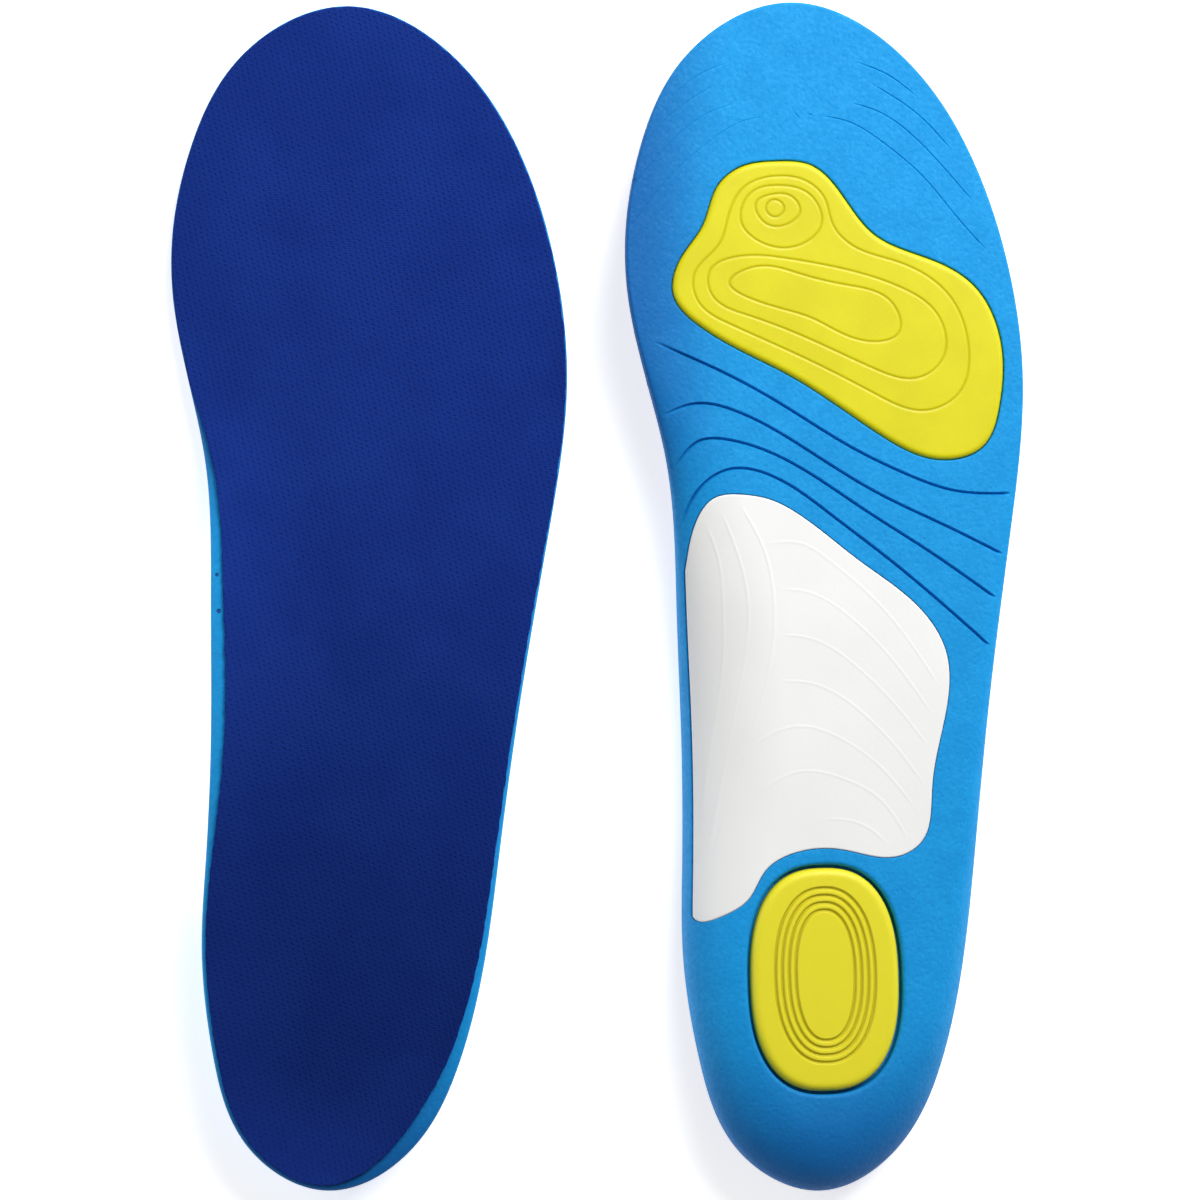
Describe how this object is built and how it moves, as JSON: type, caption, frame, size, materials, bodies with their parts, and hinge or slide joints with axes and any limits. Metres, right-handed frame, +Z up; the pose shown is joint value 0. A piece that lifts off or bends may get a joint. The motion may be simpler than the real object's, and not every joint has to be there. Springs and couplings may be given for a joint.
{
  "type": "pair of cushioned insoles",
  "caption": "Full-length shoe insoles, right and left: moulded foam base with knitted cover, heel cup, stiff arch shell, forefoot and heel gel pads, and flex grooves.",
  "frame": {"origin": "middle of the pair's bounding box, on the surface that both insoles lie on", "axes": "+Y towards the toes, +X from the right insole to the left insole, +Z up"},
  "size_m": [0.2056, 0.2844, 0.0215],
  "materials": {
    "cover_knit": "matt royal-blue double knit with small darker tuck stitches in slanting rows",
    "cover_film": "thin milky hot-melt adhesive film",
    "foam": "matt sky-blue moulded polyurethane foam with a fine closed skin",
    "arch_shell": "satin white moulded nylon",
    "gel": "satin yellow polyurethane gel",
    "glue": "thin amber-white adhesive layer"
  },
  "bodies": {
    "right_rearfoot": {"right_top_cover_rear": "cover_knit", "right_cover_film_rear": "cover_film", "right_foam_base_rear": "foam", "right_arch_shell": "arch_shell", "right_arch_shell_glue": "glue", "right_heel_gel_pad": "gel", "right_heel_pad_glue": "glue"},
    "right_forefoot": {"right_top_cover_front": "cover_knit", "right_cover_film_front": "cover_film", "right_foam_base_front": "foam", "right_forefoot_gel_pad": "gel", "right_forefoot_pad_glue": "glue"},
    "left_rearfoot": {"left_top_cover_rear": "cover_knit", "left_cover_film_rear": "cover_film", "left_foam_base_rear": "foam", "left_arch_shell": "arch_shell", "left_arch_shell_glue": "glue", "left_heel_gel_pad": "gel", "left_heel_pad_glue": "glue"},
    "left_forefoot": {"left_top_cover_front": "cover_knit", "left_cover_film_front": "cover_film", "left_foam_base_front": "foam", "left_forefoot_gel_pad": "gel", "left_forefoot_pad_glue": "glue"}
  },
  "joints": [
    {"name": "right_toe_flex", "type": "hinge", "parent": "right_rearfoot", "child": "right_forefoot", "pos_m": [-0.05582, 0.0287, 0.0078], "axis": [0.9105, -0.4136, 0], "range_deg": [0, 50], "stiffness_Nm_per_rad": 0.08},
    {"name": "left_lift", "type": "slide", "parent": "right_rearfoot", "child": "left_rearfoot", "axis": [0, 0, 1], "range_m": [0, 0.08]},
    {"name": "left_toe_flex", "type": "hinge", "parent": "left_rearfoot", "child": "left_forefoot", "pos_m": [0.05593, 0.02893, 0.01345], "axis": [0.9172, -0.3772, -0.1279], "range_deg": [0, 30], "stiffness_Nm_per_rad": 0.08}
  ]
}
